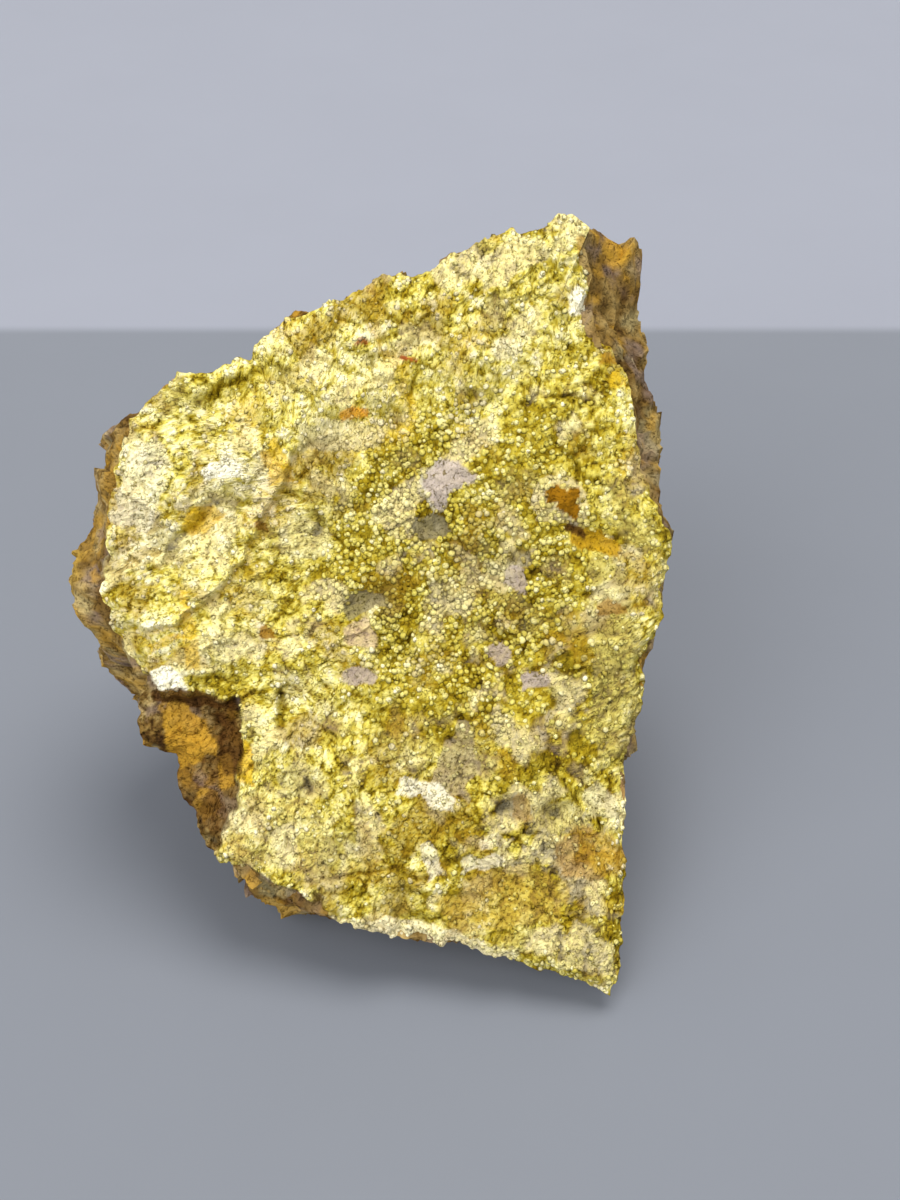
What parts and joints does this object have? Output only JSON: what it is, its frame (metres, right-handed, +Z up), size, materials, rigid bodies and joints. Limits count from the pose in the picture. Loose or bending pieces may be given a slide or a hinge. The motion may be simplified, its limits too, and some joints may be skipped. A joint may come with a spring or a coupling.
{
  "type": "calcioferrite mineral specimen",
  "caption": "Broken piece of brown limonite rock whose leaning face is covered by a pale yellow granular calcioferrite crust; it rests on a flat underside.",
  "frame": {"origin": "middle of the bounding box's bottom face, at the level of the table the piece rests on", "axes": "+Z up; -Y towards the side that the broken crust face looks to, as it leans back; +X to the right when looking at that face"},
  "size_m": [0.0786, 0.0778, 0.08],
  "materials": {
    "crust_on_limonite": "dull, granular and earthy: pale yellow crust on the face, brown and ochre limonite on the flanks, back and underside"
  },
  "bodies": {
    "root": {"specimen": "crust_on_limonite"}
  },
  "joints": []
}
